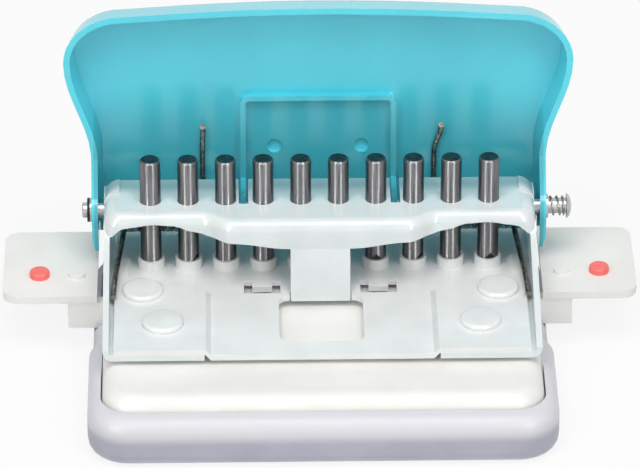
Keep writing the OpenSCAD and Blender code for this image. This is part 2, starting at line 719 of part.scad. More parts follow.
module shaft_clip() color(dark) difference() {
    on_hinge(-clip_x - washer_t, -clip_x, washer_d);
    on_hinge(-clip_x - washer_t - over, -clip_x + over, groove_d + 2 * run_gap);
    block([-clip_x - washer_t - over, hinge_y - clip_mouth, hinge_z - washer_d],
          [-clip_x + over, hinge_y + clip_mouth, hinge_z]);
}

module shaft_spring() color(steel) tube(small_path, small_wire);

module pin_lift_bar() color(steel) translate([0, 0, plate_low - seat_gap - bar_t]) difference() {
    union() {
        block([-bar_end, -bar_front, 0], [bar_end, bar_back, bar_t]);
        both_sides() block([web_x - bridge_half, -bridge_front, 0], [web_x + bridge_half, 0, bar_t]);
    }
    for (i = [1:pin_count]) translate([pin_x(i), 0, -over]) cylinder(d = pin_d + 2 * run_gap, h = bar_t + 2 * over);
    both_sides() block([web_x - rib_t / 2 - web_gap, -notch_front, -over],
                       [web_x + rib_t / 2 + web_gap, bar_back + over, bar_t + over]);
}

module punch_pin(i) color(steel) translate([pin_x(i), 0, pin_low]) difference() {
    union() {
        cylinder(d = pin_d, h = pin_len - pin_chamfer);
        translate([0, 0, pin_len - pin_chamfer]) cylinder(d1 = pin_d, d2 = pin_d - 2 * pin_chamfer, h = pin_chamfer);
    }
    rotate([0, 0, pin_turns[i - 1]]) rotate([90, 0, 0]) translate([0, 0, -pin_d]) linear_extrude(2 * pin_d)
        polygon([[-pin_d / 2, -run_gap], [0, pin_notch], [pin_d / 2, -run_gap]]);
}

module wing() color(ivory) difference() {
    union() {
        translate([0, 0, wing_low]) linear_extrude(wing_t) difference() {
            rounded([wing_in - 2 * wing_r, -wing_front], [stud_x + wing_reach, wing_back], wing_r);
            translate([wing_in - 2 * wing_r - over, -wing_front - over]) square([2 * wing_r + over, wing_depth + 2 * over]);
        }
        block([arm_x[0], arm_y[0], wing_low - arm_h], [wing_in, arm_y[1], wing_low - seat_gap / 2]);
        block([wing_in - lap, arm_y[0], wing_low - arm_h], [arm_x[1], arm_y[1], wing_low]);
        translate([nub_x, 0, wing_low]) cylinder(d = nub_d, h = wing_t + nub_h);
    }
    translate([stud_x, 0, wing_low - over]) cylinder(d = peg_d, h = wing_t + 2 * over);
}
module stud() color(red) translate([stud_x, 0, wing_low]) {
    cylinder(d = peg_d, h = wing_t + stud_h / 2);
    translate([0, 0, wing_t]) cylinder(d1 = stud_d, d2 = stud_d - stud_taper, h = stud_h - stud_edge_h);
    translate([0, 0, wing_t + stud_h - stud_edge_h])
        cylinder(d1 = stud_d - stud_taper, d2 = stud_d - stud_taper - stud_edge, h = stud_edge_h);
}
module wing_right() wing();
module wing_left() mirror([1, 0, 0]) wing();
module stud_right() stud();
module stud_left() mirror([1, 0, 0]) stud();

// Tray filled to its outer or inner face: a high front collar and lower sides
module tray_fill(inset, edge) {
    soft_box([-tray_half + inset, -tray_front + inset], [tray_half - inset, -tray_collar - inset + 2 * tray_r],
             inset, tray_h - inset, tray_r - inset, edge, inset);
    soft_box([-tray_side_half + inset, -tray_front + tray_r], [tray_side_half - inset, tray_back - inset],
             inset, tray_side_h - inset, tray_r - inset, edge, inset);
}

module chip_tray() color(frost) difference() {
    intersection() {
        tray_fill(0, tray_edge_r);
        union() {
            block([-tray_half, -tray_front, 0], [tray_half, -tray_collar, tray_h]);
            block([-tray_half, -tray_front, 0], [tray_half, tray_back, tray_side_h]);
        }
    }
    difference() {
        tray_fill(tray_wall, tray_inner_r);
        block([-tray_half, -tray_collar - tray_wall, tray_side_h - tray_wall], [tray_half, tray_back, tray_h]);
    }
    translate([0, 0, tray_side_h - 2 * tray_wall]) linear_extrude(tray_h)
        rounded([-base_half - slide_gap, -base_front - slide_gap], [base_half + slide_gap, base_back + slide_gap], base_r);
    // Low stretch of the sides under the rests
    both_sides() block([base_half - tray_notch_in, tray_notch_y[0], tray_notch], [tray_half + over, tray_notch_y[1], tray_h + over]);
}

base();
die_plate();
paper_stop();
guide_plate();
punch_frame();
frame_rivets();
base_screws();
return_spring_left();
return_spring_right();
lever_shell();
washer_left();
washer_right();
hinge_shaft();
shaft_clip();
shaft_spring();
pin_lift_bar();
for (i = [1:pin_count]) punch_pin(i);
wing_left();
stud_left();
wing_right();
stud_right();
chip_tray();
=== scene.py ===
# %% [markdown]
# # A desk hole punch, piece by piece
# This lesson dresses a hole punch for loose-leaf and coil-bound sheets. Its solids are already built to
# size and come in as a fixed frame, so nothing here has to be fitted: every piece is modelled where the
# real one sits. We set the camera first, then mix the finishes, make the pieces one after another, and
# light them last.

# %% Load the frame
import json
import math
import bpy
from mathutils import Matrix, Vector


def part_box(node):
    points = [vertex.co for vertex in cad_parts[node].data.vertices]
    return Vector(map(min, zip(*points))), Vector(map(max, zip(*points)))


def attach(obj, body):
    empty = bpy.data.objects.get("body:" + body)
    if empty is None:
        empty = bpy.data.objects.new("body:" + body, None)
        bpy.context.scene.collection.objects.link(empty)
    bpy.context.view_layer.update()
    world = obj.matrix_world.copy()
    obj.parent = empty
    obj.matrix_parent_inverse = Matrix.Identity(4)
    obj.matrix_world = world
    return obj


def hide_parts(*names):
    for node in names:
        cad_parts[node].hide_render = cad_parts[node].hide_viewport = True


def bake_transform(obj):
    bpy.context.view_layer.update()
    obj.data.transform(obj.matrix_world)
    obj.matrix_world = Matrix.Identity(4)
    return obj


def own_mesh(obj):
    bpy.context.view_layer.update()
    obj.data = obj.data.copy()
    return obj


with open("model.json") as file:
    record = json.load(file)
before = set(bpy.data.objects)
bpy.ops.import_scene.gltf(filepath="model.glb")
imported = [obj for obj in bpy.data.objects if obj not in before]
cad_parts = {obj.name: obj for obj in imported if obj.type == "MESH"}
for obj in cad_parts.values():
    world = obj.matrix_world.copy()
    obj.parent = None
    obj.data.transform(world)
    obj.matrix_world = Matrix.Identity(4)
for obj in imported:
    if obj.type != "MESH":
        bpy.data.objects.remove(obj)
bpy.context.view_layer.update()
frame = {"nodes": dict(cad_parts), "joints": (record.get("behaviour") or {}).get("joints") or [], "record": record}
scene = bpy.context.scene
MM = 0.001

# %% [markdown]
# ## Camera
# The photograph was taken from about a metre and a half with a long lens, a little left of the middle and
# 31 degrees above the table. A long lens keeps the pins almost parallel. We place the camera on that line
# of sight and aim it a few millimetres above the guide plate, so the object sits in the frame as it does
# there.

# %% Camera
IMAGE_W, IMAGE_H = 640, 468
GUIDE_ABOVE_DIE = 2.8 * MM
GUIDE_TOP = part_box("die_plate")[1].z + GUIDE_ABOVE_DIE
view_distance = 1.4405
view_elevation = math.radians(31.0)
view_yaw = math.radians(1.05)
focal_pixels = 5657.4
sight = Vector((math.sin(view_yaw) * math.cos(view_elevation),
                math.cos(view_yaw) * math.cos(view_elevation), -math.sin(view_elevation)))
row_middle = Vector((0.0, 0.0, GUIDE_TOP))
sideways = sight.cross(Vector((0, 0, 1))).normalized()
upward = sideways.cross(sight)
row_pixel = Vector((319.5, 264.1))
aim = (row_middle + upward * (row_pixel.y - IMAGE_H / 2) / focal_pixels * view_distance
       - sideways * (row_pixel.x - IMAGE_W / 2) / focal_pixels * view_distance)
eye = row_middle - sight * view_distance
bpy.ops.object.camera_add(location=eye)
camera = bpy.context.active_object
camera.rotation_euler = (aim - eye).to_track_quat("-Z", "Y").to_euler()
camera.data.sensor_fit = "HORIZONTAL"
camera.data.angle_x = 2 * math.atan(IMAGE_W / 2 / focal_pixels)
scene.camera = camera
print("camera at", [round(c, 3) for c in eye])

# %% [markdown]
# ## Finishes
# A finish starts from what the real material is. The colours are written as sRGB hex values, as one reads
# them off a screen, and one function turns them into the linear numbers that Blender's shaders want. One
# more function adds a shader node, sets it and links it, so each finish below is a short recipe.

# %% Helpers for the finishes
def linear(hex_colour):
    """sRGB hex value to linear red, green, blue and full alpha."""
    parts = [int(hex_colour[k:k + 2], 16) / 255 for k in (1, 3, 5)]
    return tuple(c / 12.92 if c <= 0.04045 else ((c + 0.055) / 1.055) ** 2.4 for c in parts) + (1.0,)


def add(owner, kind, settings=None, **sockets):
    """Add one node to a finish or a world, set its properties, and fill or link its sockets.

    A socket goes by its identifier, with a space written as _, because two sockets can share a name.
    """
    made = owner.node_tree.nodes.new(kind)
    for name, value in (settings or {}).items():
        setattr(made, name, value)
    socket_of = {socket.identifier.replace(" ", "_"): socket for socket in made.inputs}
    for name, value in sockets.items():
        if isinstance(value, bpy.types.NodeSocket):
            owner.node_tree.links.new(value, socket_of[name])
        else:
            socket_of[name].default_value = value
    return made


def finish(name, roughness, ior=1.5, metallic=0.0):
    """A new finish with its main shader, ready for the recipe."""
    mat = bpy.data.materials.new(name)
    mat.use_nodes = True
    shader = mat.node_tree.nodes["Principled BSDF"]
    shader.inputs["Roughness"].default_value = roughness
    shader.inputs["IOR"].default_value = ior
    shader.inputs["Metallic"].default_value = metallic
    print("finish", name)
    return mat, shader


def per_mm(size):
    """Scale of a pattern whose features are about this many millimetres wide."""
    return 1.0 / (size * MM)


def mottle(mat, shader, light, dark, patch_mm, stretch=(1.0, 1.0, 1.0), detail=4.0, spread=0.15):
    """Colour that drifts between two close shades, patch by patch, as paint and plastic do."""
    place = add(mat, "ShaderNodeTexCoord")
    drawn_out = add(mat, "ShaderNodeMapping", Vector=place.outputs["Object"], Scale=stretch)
    cloud = add(mat, "ShaderNodeTexNoise", Vector=drawn_out.outputs["Vector"], Scale=per_mm(patch_mm),
                Detail=detail)
    ramp = add(mat, "ShaderNodeValToRGB", Fac=cloud.outputs["Fac"])
    dark_stop, light_stop = ramp.color_ramp.elements
    dark_stop.position, light_stop.position = 0.5 - spread, 0.5 + spread
    dark_stop.color, light_stop.color = linear(dark), linear(light)
    mat.node_tree.links.new(ramp.outputs["Color"], shader.inputs["Base Color"])
    return place


def grain(mat, shader, place, size_mm, height_mm):
    """Fine relief in a surface, of a real width and height."""
    relief = add(mat, "ShaderNodeTexNoise", Vector=place.outputs["Object"], Scale=per_mm(size_mm), Detail=2.0)
    bump = add(mat, "ShaderNodeBump", Height=relief.outputs["Fac"], Strength=1.0, Distance=height_mm * MM)
    mat.node_tree.links.new(bump.outputs["Normal"], shader.inputs["Normal"])


# %% [markdown]
# Dirt and shade keep to certain places, so a finish has to know where it is. A mask is a value from 0 to 1
# that says so: here it climbs between two places along a direction. A mask that gets another one as its top
# value holds only where both do. A second function mixes a colour into a finish under a mask.

# %% Helpers for masks
ALONG_ROW, TO_BACK, UP = (1.0, 0.0, 0.0), (0.0, 1.0, 0.0), (0.0, 0.0, 1.0)


def band(mat, place, direction, low_mm, high_mm, most=1.0):
    """A mask that climbs from 0 to most, a number or another mask, between two places along a direction."""
    length = add(mat, "ShaderNodeVectorMath", {"operation": "DOT_PRODUCT"}, Vector=place.outputs["Object"],
                 Vector_001=direction)
    made = add(mat, "ShaderNodeMapRange", {"interpolation_type": "SMOOTHSTEP"}, Value=length.outputs["Value"],
               From_Min=low_mm * MM, From_Max=high_mm * MM, To_Max=most)
    return made.outputs["Result"]


def tint(mat, shader, mask, colour, strength=1.0):
    """Mix a colour into a finish where a mask holds."""
    amount = add(mat, "ShaderNodeMath", {"operation": "MULTIPLY"}, Value=mask, Value_001=strength)
    clean = shader.inputs["Base Color"].links[0].from_socket
    mixed = add(mat, "ShaderNodeMixRGB", Fac=amount.outputs[0], Color1=clean, Color2=linear(colour))
    mat.node_tree.links.new(mixed.outputs["Color"], shader.inputs["Base Color"])


# %% [markdown]
# Dust and grease show as small dark dots. Voronoi cells give each dot its own place, a random value per
# cell leaves most cells empty, and a mask keeps the dots where dirt really gathers.

# %% Helper for specks
def specks(mat, shader, place, spacing_mm, size_mm, share, dark, mask=1.0):
    """Darken a finish in sparse round dots of a real size and spacing, where a mask holds."""
    cells = add(mat, "ShaderNodeTexVoronoi", Vector=place.outputs["Object"], Scale=per_mm(spacing_mm))
    chosen = add(mat, "ShaderNodeMath", {"operation": "LESS_THAN"}, Value=cells.outputs["Color"],
                 Value_001=share)
    shown = add(mat, "ShaderNodeMath", {"operation": "MULTIPLY"}, Value=chosen.outputs[0], Value_001=mask)
    dot_radius = size_mm / spacing_mm / 2
    dot = add(mat, "ShaderNodeMapRange", Value=cells.outputs["Distance"], From_Min=0.7 * dot_radius,
              From_Max=1.3 * dot_radius, To_Min=shown.outputs[0], To_Max=0.0)
    tint(mat, shader, dot.outputs["Result"], dark)


# %% [markdown]
# Stove enamel on pressed steel: a thick white paint that levels itself but keeps a faint orange peel of
# about a millimetre, and shines softly. A few specks of dust sit in it. The guide plate and rivets wear it.

# %% White enamel
def enamel(name, roughness, light, dark, coat_roughness):
    """White stove enamel in a given shade."""
    mat, shader = finish(name, roughness)
    place = mottle(mat, shader, light, dark, patch_mm=9.0)
    specks(mat, shader, place, spacing_mm=9.0, size_mm=0.28, share=0.30, dark="#5b5f60")
    grain(mat, shader, place, size_mm=1.1, height_mm=0.006)
    shader.inputs["Coat Weight"].default_value = 0.4
    shader.inputs["Coat Roughness"].default_value = coat_roughness
    return mat, shader, place


white_enamel = enamel("white_stove_enamel", roughness=0.26, light="#f3f5f4", dark="#eceeed",
                      coat_roughness=0.1)[0]

# %% [markdown]
# The folded frame gets its own copy of the enamel, slightly cooler and darker than the guide plate's: painted
# shade, with a bluish painted reflection of the teal lever. In the corner below the lever, along the back edge of
# its top plate, the photograph is darker and bluish. Soft lamps give little shade there, so a dark teal painted
# shade is mixed into the paint at that place.

# %% Frame enamel
shade_low, shade_high = 36.0, 37.0  # heights just under the top plate
shade_starts, shade_full = 2.8, 7.6  # distances back from the pin row
# A cooler, darker copy of the enamel: painted shade and painted reflection of the teal lever.
frame_enamel_painted_shade, shader, place = enamel("cool_stove_enamel", roughness=0.24, light="#e8efef", dark="#e1e8e8",
                                     coat_roughness=0.08)
on_top_plate = band(frame_enamel_painted_shade, place, UP, shade_low, shade_high)
painted_shade_below_lever = band(frame_enamel_painted_shade, place, TO_BACK, shade_starts, shade_full, most=on_top_plate)
# Painted shade: a dark teal tone along the back edge of the top plate, below the lever.
tint(frame_enamel_painted_shade, shader, painted_shade_below_lever, "#3c8a93", strength=0.62)

# %% [markdown]
# Ivory ABS, moulded in a spark-eroded tool: a warm white with a fine satin texture that spreads the
# highlights.

# %% Ivory plastic
ivory_abs, shader = finish("ivory_moulded_abs", roughness=0.42)
place = mottle(ivory_abs, shader, "#f6f5f1", "#f0efeb", patch_mm=14.0)
grain(ivory_abs, shader, place, size_mm=0.5, height_mm=0.008)

# %% [markdown]
# Teal ABS from a polished tool: glossy and even, with a slow waviness where the plastic shrank over its ribs. Just
# above the hinge the lever's inside is darker in the photograph, with a few specks. The specks are grease from the
# pins, and the darkening is painted shade: a thin dark film mixed into the colour there. The outside stays clean.
# The raised lever leans back, so its panel is found by the distance along the panel's own normal.

# %% Teal plastic
LEVER_LEAN = math.radians(5.0)
panel_normal = (0.0, math.cos(LEVER_LEAN), -math.sin(LEVER_LEAN))
teal_abs, shader = finish("teal_polished_abs", roughness=0.24)
place = mottle(teal_abs, shader, "#58deef", "#52d6e8", patch_mm=22.0)
painted_shade_ends, painted_shade_full = 62.0, 42.0  # heights above the table
panel_out, panel_in = 18.3, 17.7  # depths within the panel's wall
cheek_out, cheek_in = 57.4, 57.0  # places within the cheeks' walls, from the middle
near_hinge = band(teal_abs, place, UP, painted_shade_ends, painted_shade_full)
before_panel = band(teal_abs, place, panel_normal, panel_out, panel_in, most=near_hinge)
inside_right_cheek = band(teal_abs, place, ALONG_ROW, cheek_out, cheek_in, most=before_panel)
grease_and_painted_shade_zone = band(teal_abs, place, ALONG_ROW, -cheek_out, -cheek_in, most=inside_right_cheek)
# Grease specks, in the same zone as the painted shade.
specks(teal_abs, shader, place, spacing_mm=4.5, size_mm=0.45, share=0.16, dark="#2c7f8c",
       mask=grease_and_painted_shade_zone)
# Painted shade: a thin dark film low on the lever's inside, above the hinge.
tint(teal_abs, shader, grease_and_painted_shade_zone, "#0c4a55", strength=0.34)
grain(teal_abs, shader, place, size_mm=12.0, height_mm=0.04)
shader.inputs["Coat Weight"].default_value = 0.5
shader.inputs["Coat Roughness"].default_value = 0.08

# %% [markdown]
# Ground tool steel: a grinding wheel leaves rings round the pin, far too fine to see, which smear each lamp
# into a bright stripe along the pin. Anisotropy does that: the tangent runs round the pin, and a quarter
# turn stretches the highlight upwards. Faint streaks along the pin, drawn wide enough to show, break it up.
# The pins' cut tops get a darker steel finish.

# %% Ground steel pins
pin_steel, shader = finish("ground_tool_steel", roughness=0.38, metallic=1.0)
mottle(pin_steel, shader, "#8b8a8b", "#626265", patch_mm=0.35, stretch=(1.0, 1.0, 0.04), detail=3.0,
       spread=0.2)
shader.inputs["Anisotropic"].default_value = 0.95
shader.inputs["Anisotropic Rotation"].default_value = 0.25
round_axis = add(pin_steel, "ShaderNodeTangent", {"direction_type": "RADIAL", "axis": "Z"})
pin_steel.node_tree.links.new(round_axis.outputs["Tangent"], shader.inputs["Tangent"])
# A darker steel for the pins' cut tops.
darker_top_steel, shader = finish("oily_cut_steel", roughness=0.35, metallic=1.0)
mottle(darker_top_steel, shader, "#4b4d50", "#343639", patch_mm=1.2)

# %% [markdown]
# Plain bright steel for the shaft, washers, die and bar, drawn spring wire with an oily sheen, and
# blackened steel for the clip. All three are metals that differ in colour and in how far they scatter
# light.

# %% Other metals
bright_steel, shader = finish("plain_bright_steel", roughness=0.25, metallic=1.0)
mottle(bright_steel, shader, "#c9c8c7", "#a8a7a7", patch_mm=1.5)
spring_wire, shader = finish("drawn_spring_wire", roughness=0.22, metallic=1.0)
mottle(spring_wire, shader, "#b4afa8", "#75716b", patch_mm=0.9)
black_oxide, shader = finish("blackened_steel", roughness=0.38, metallic=0.6)
mottle(black_oxide, shader, "#2c2d30", "#1a1b1d", patch_mm=1.2)

# %% [markdown]
# Red ABS for the studs, and frosted polypropylene for the tray. The tray is translucent: its collar has the white
# base close behind it and looks pale, while its lower part covers the hollow that holds the chips and looks
# greyer. That light through the plastic is painted: the colour climbs with the height above the table, from a
# greyer painted shade over the hollow to a paler painted light on the collar.

# %% Red and frosted plastics
red_abs, shader = finish("red_moulded_abs", roughness=0.38)
place = mottle(red_abs, shader, "#ff7a74", "#fb716b", patch_mm=2.0)
grain(red_abs, shader, place, size_mm=0.4, height_mm=0.008)
frosted_pp, shader = finish("frosted_polypropylene", roughness=0.4, ior=1.49)
place = mottle(frosted_pp, shader, "#c6c7d4", "#bcbdcb", patch_mm=16.0)
hollow_top, collar_foot = 6.4, 9.6  # heights above the table
# Painted light and shade: pale on the collar, greyer over the hollow.
tint(frosted_pp, shader, band(frosted_pp, place, UP, hollow_top, collar_foot), "#eeedf2")
grain(frosted_pp, shader, place, size_mm=0.7, height_mm=0.01)
shader.inputs["Transmission Weight"].default_value = 0.2
shader.inputs["Subsurface Weight"].default_value = 0.3
shader.inputs["Subsurface Radius"].default_value = (0.004, 0.004, 0.005)

# %% [markdown]
# ## Working with operators
# Operators act on whatever is selected. These helpers pick one object, choose faces or edges by their
# place, and hand a finished piece to the body it moves with.

# %% Helpers for modelling
BODY_OF = {node: body for body, nodes in frame["record"]["behaviour"]["bodies"].items() for node in nodes}


def pick(obj):
    """Make obj the only selected object, and the active one."""
    bpy.ops.object.select_all(action="DESELECT")
    obj.select_set(True)
    bpy.context.view_layer.objects.active = obj


def choose(obj, kind, test):
    """Enter edit mode with only those faces or edges selected whose corners all pass a test."""
    if bpy.context.mode != "OBJECT":
        bpy.ops.object.mode_set(mode="OBJECT")
    pick(obj)
    bpy.ops.object.mode_set(mode="EDIT")
    bpy.ops.mesh.select_mode(type=kind)
    bpy.ops.mesh.select_all(action="DESELECT")
    bpy.ops.object.mode_set(mode="OBJECT")
    for item in obj.data.polygons if kind == "FACE" else obj.data.edges:
        item.select = all(test(obj.matrix_world @ obj.data.vertices[k].co) for k in item.vertices)
    bpy.ops.object.mode_set(mode="EDIT")


def apply_modifiers(obj):
    """Turn what the modifiers show into the mesh itself."""
    pick(obj)
    for name in [m.name for m in obj.modifiers]:
        bpy.ops.object.modifier_apply(modifier=name)


def settle(obj):
    """Put the place, turn and size of obj into its mesh, so that the object itself sits at the origin."""
    pick(obj)
    bpy.ops.object.transform_apply(location=True, rotation=True, scale=True)


def hand_over(obj, node, material):
    """Give obj its finish, let it stand for a node, and let it ride on that node's body."""
    obj.data.materials.clear()
    obj.data.materials.append(material)
    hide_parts(node)
    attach(obj, BODY_OF[node])
    print(obj.name, len(obj.data.polygons), "faces on", BODY_OF[node])
    return obj


# %% [markdown]
# ## Sheet, mouldings and steel
# Pressed sheet and mouldings already have their true outline as solids, so the quickest honest way is a
# copy with softer edges: the loose triangles are merged, flat areas become single faces, and a bevel rounds
# every sharp edge, because it is the small round edge that catches the light. Weighted normals keep the
# flat areas flat in the shading. Each piece gets the radius that its process leaves: about half a
# millimetre on mouldings, less on cut sheet, and hardly any on ground steel.

# %% Softened copies
HAIR = 0.001 * MM  # a length too small to see


def softened(node, material, radius_mm, segments=2, sharp=30.0):
    """A copy of a solid whose edges are rounded off."""
    piece = bpy.data.objects.new(node + "_finished", frame["nodes"][node].data.copy())
    scene.collection.objects.link(piece)
    pick(piece)
    bpy.ops.object.mode_set(mode="EDIT")
    bpy.ops.mesh.select_all(action="SELECT")
    bpy.ops.mesh.remove_doubles(threshold=2 * HAIR)
    bpy.ops.mesh.dissolve_limited(angle_limit=math.radians(0.6))
    bpy.ops.object.mode_set(mode="OBJECT")
    edge = piece.modifiers.new("soft edges", "BEVEL")
    edge.width = radius_mm * MM
    edge.segments = segments
    edge.limit_method = "ANGLE"
    edge.angle_limit = math.radians(sharp)
    apply_modifiers(piece)
    bpy.ops.object.shade_smooth_by_angle(angle=math.radians(sharp))
    even = piece.modifiers.new("even shading", "WEIGHTED_NORMAL")
    even.keep_sharp = True
    apply_modifiers(piece)
    return hand_over(piece, node, material)


softened("base", ivory_abs, radius_mm=0.5)
softened("paper_stop", ivory_abs, radius_mm=0.2)
softened("die_plate", bright_steel, radius_mm=0.1)
softened("guide_plate", white_enamel, radius_mm=0.3)
softened("punch_frame", frame_enamel_painted_shade, radius_mm=0.35)
softened("lever_shell", teal_abs, radius_mm=0.45, segments=3)
softened("chip_tray", frosted_pp, radius_mm=0.4)
softened("wing_left", ivory_abs, radius_mm=0.5)
softened("wing_right", ivory_abs, radius_mm=0.5)
softened("shaft_clip", black_oxide, radius_mm=0.1)
softened("pin_lift_bar", bright_steel, radius_mm=0.1)

# %% [markdown]
# Three screws come up from below and end in the guide plate. Their upper ends were enamelled with the
# plate, so the faces up there get its finish, and the rest stays bright.

# %% Screws
screws = softened("base_screws", bright_steel, radius_mm=0.1)
screws.data.materials.append(white_enamel)
enamelled_from = GUIDE_TOP - 1.5 * MM
for face in screws.data.polygons:
    face.material_index = 1 if face.center.z > enamelled_from else 0

# %% [markdown]
# The ten pins are alike but for the turn of the V cut into each lower end. The faces that look straight up get the
# darker finish of the cut tops.

# %% Pins
CUT_TOP_DEPTH = 0.2 * MM
for number in range(1, 11):
    pin = softened("punch_pin_%d" % number, pin_steel, radius_mm=0.12)
    pin.data.materials.append(darker_top_steel)
    pin_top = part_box("punch_pin_%d" % number)[1].z
    for face in pin.data.polygons:
        if face.normal.z > 0.9 and face.center.z > pin_top - CUT_TOP_DEPTH:
            face.material_index = 1

# %% [markdown]
# ## Rivets and studs
# A rivet head is a low round button: the die that closes it leaves a large radius round the top, a slight
# crown and a tight radius at the foot, which draws a thin shadow line on the plate. The red studs are such
# buttons too. Each starts as a cylinder in the box of its solid; the rims are bevelled and the top is inset
# and raised.

# %% Buttons
def boxes_of(node):
    """Lowest and highest corner of each separate solid of a node."""
    copy = bpy.data.objects.new("measure", frame["nodes"][node].data.copy())
    scene.collection.objects.link(copy)
    pick(copy)
    bpy.ops.object.mode_set(mode="EDIT")
    bpy.ops.mesh.select_all(action="SELECT")
    bpy.ops.mesh.remove_doubles(threshold=2 * HAIR)
    bpy.ops.mesh.separate(type="LOOSE")
    bpy.ops.object.mode_set(mode="OBJECT")
    boxes = []
    for part in bpy.context.selected_objects:
        along_axes = [[v.co[k] for v in part.data.vertices] for k in range(3)]
        boxes.append((Vector([min(c) for c in along_axes]), Vector([max(c) for c in along_axes])))
    bpy.ops.object.delete()
    return boxes


def button(name, low, high, foot_z, top_round, foot_round, crown):
    """A low round button that fills a box, from its foot up; the rounding is in millimetres."""
    bpy.ops.object.select_all(action="DESELECT")
    width = high.x - low.x
    rise = high.z - crown * MM - foot_z
    middle_z = foot_z + rise / 2
    bpy.ops.mesh.primitive_cylinder_add(vertices=64, radius=width / 2, depth=rise,
                                        location=((low.x + high.x) / 2, (low.y + high.y) / 2, middle_z))
    piece = bpy.context.active_object
    piece.name = name
    choose(piece, "EDGE", lambda spot: spot.z > middle_z)
    bpy.ops.mesh.bevel(offset=top_round * MM, segments=6, affect="EDGES")
    choose(piece, "EDGE", lambda spot: spot.z < foot_z + HAIR)
    bpy.ops.mesh.bevel(offset=foot_round * MM, segments=3, affect="EDGES")
    choose(piece, "FACE", lambda spot: spot.z > foot_z + rise - HAIR)
    inset_width = 0.11 * width
    for share in (0.4, 0.35, 0.25):
        bpy.ops.mesh.inset(thickness=inset_width)
        bpy.ops.transform.translate(value=(0, 0, crown * share * MM))
    bpy.ops.object.mode_set(mode="OBJECT")
    settle(piece)
    bpy.ops.object.shade_smooth_by_angle(angle=math.radians(40))
    return piece


PAD_TOP = 21.0 * MM  # top of the feet that the heads sit on
rivet_foot = PAD_TOP + 0.02 * MM
heads = [button("rivet_%d" % k, low, high, rivet_foot, top_round=0.8, foot_round=0.18, crown=0.12)
         for k, (low, high) in enumerate(boxes_of("frame_rivets"))]
pick(heads[0])
for head in heads:
    head.select_set(True)
bpy.ops.object.join()
heads[0].name = "rivet_heads"
hand_over(heads[0], "frame_rivets", white_enamel)

# %% Studs
for side in ("left", "right"):
    low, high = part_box("stud_" + side)
    stud = button("stud_%s_button" % side, low, high, low.z, top_round=0.6, foot_round=0.1, crown=0.1)
    hand_over(stud, "stud_" + side, red_abs)

# %% [markdown]
# ## Hinge shaft and washers
# Turned parts are drawn as one circle that is pushed along the axis and scaled, step by step, as a lathe
# would leave it. A washer's profile runs back to where it began and closes there.

# %% Turned parts
hinge_y, hinge_z = (c / MM for c in frame["joints"][0]["pos_m"][1:])


def turned(name, profile, ring=False):
    """A part turned about the hinge axis from pairs of place along X and radius, both in millimetres."""
    x, radius = profile[0]
    bpy.ops.object.select_all(action="DESELECT")
    bpy.ops.mesh.primitive_circle_add(vertices=48, radius=radius * MM,
                                      fill_type="NOTHING" if ring else "NGON", rotation=(0, math.pi / 2, 0),
                                      location=(x * MM, hinge_y * MM, hinge_z * MM))
    piece = bpy.context.active_object
    piece.name = name
    settle(piece)
    bpy.ops.object.mode_set(mode="EDIT")
    bpy.ops.mesh.select_mode(type="VERT")
    bpy.ops.mesh.select_all(action="SELECT")
    for next_x, next_radius in profile[1:] + (profile[:1] if ring else []):
        bpy.ops.mesh.extrude_region_move(TRANSFORM_OT_translate={"value": ((next_x - x) * MM, 0, 0)})
        bpy.ops.transform.resize(value=(1, next_radius / radius, next_radius / radius),
                                 center_override=(next_x * MM, hinge_y * MM, hinge_z * MM))
        x, radius = next_x, next_radius
    bpy.ops.mesh.select_all(action="SELECT")
    bpy.ops.mesh.remove_doubles(threshold=HAIR)
    bpy.ops.mesh.normals_make_consistent(inside=False)
    bpy.ops.object.mode_set(mode="OBJECT")
    bpy.ops.object.shade_smooth_by_angle(angle=math.radians(32))
    return piece


SHAFT_RADIUS, GROOVE_RADIUS, WASHER_HOLE_RADIUS, HEAD_RISE = 2.0, 1.6, 2.1, 1.4
shaft_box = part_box("hinge_shaft")
shaft_low, shaft_high = (c.x / MM for c in shaft_box)
clip_low, clip_high = (c.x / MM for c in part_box("shaft_clip"))
head_radius = (shaft_box[1].z - shaft_box[0].z) / MM / 2
head_x = shaft_high - HEAD_RISE
dome = [(shaft_high - HEAD_RISE * (1 - math.cos(a)), head_radius * math.sin(a))
        for a in (math.radians(d) for d in (78, 62, 46, 30, 15, 1))]
shaft_profile = [(shaft_low, GROOVE_RADIUS), (shaft_low + 0.3, SHAFT_RADIUS),
                 (clip_low - 0.05, SHAFT_RADIUS), (clip_low - 0.04, GROOVE_RADIUS),
                 (clip_high + 0.04, GROOVE_RADIUS), (clip_high + 0.05, SHAFT_RADIUS),
                 (head_x - 0.05, SHAFT_RADIUS), (head_x, SHAFT_RADIUS + 0.1),
                 (head_x, head_radius - 0.15), (head_x + 0.1, head_radius)] + dome
hand_over(turned("hinge_shaft_turned", shaft_profile), "hinge_shaft", bright_steel)

# %% Washers
for side in ("left", "right"):
    low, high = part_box("washer_" + side)
    outer = (high.z - low.z) / MM / 2
    x0, x1, round_off = low.x / MM, high.x / MM, 0.1
    profile = [(x0, WASHER_HOLE_RADIUS), (x0, outer - round_off), (x0 + round_off, outer),
               (x1 - round_off, outer), (x1, outer - round_off), (x1, WASHER_HOLE_RADIUS)]
    hand_over(turned("washer_%s_turned" % side, profile, ring=True), "washer_" + side, bright_steel)
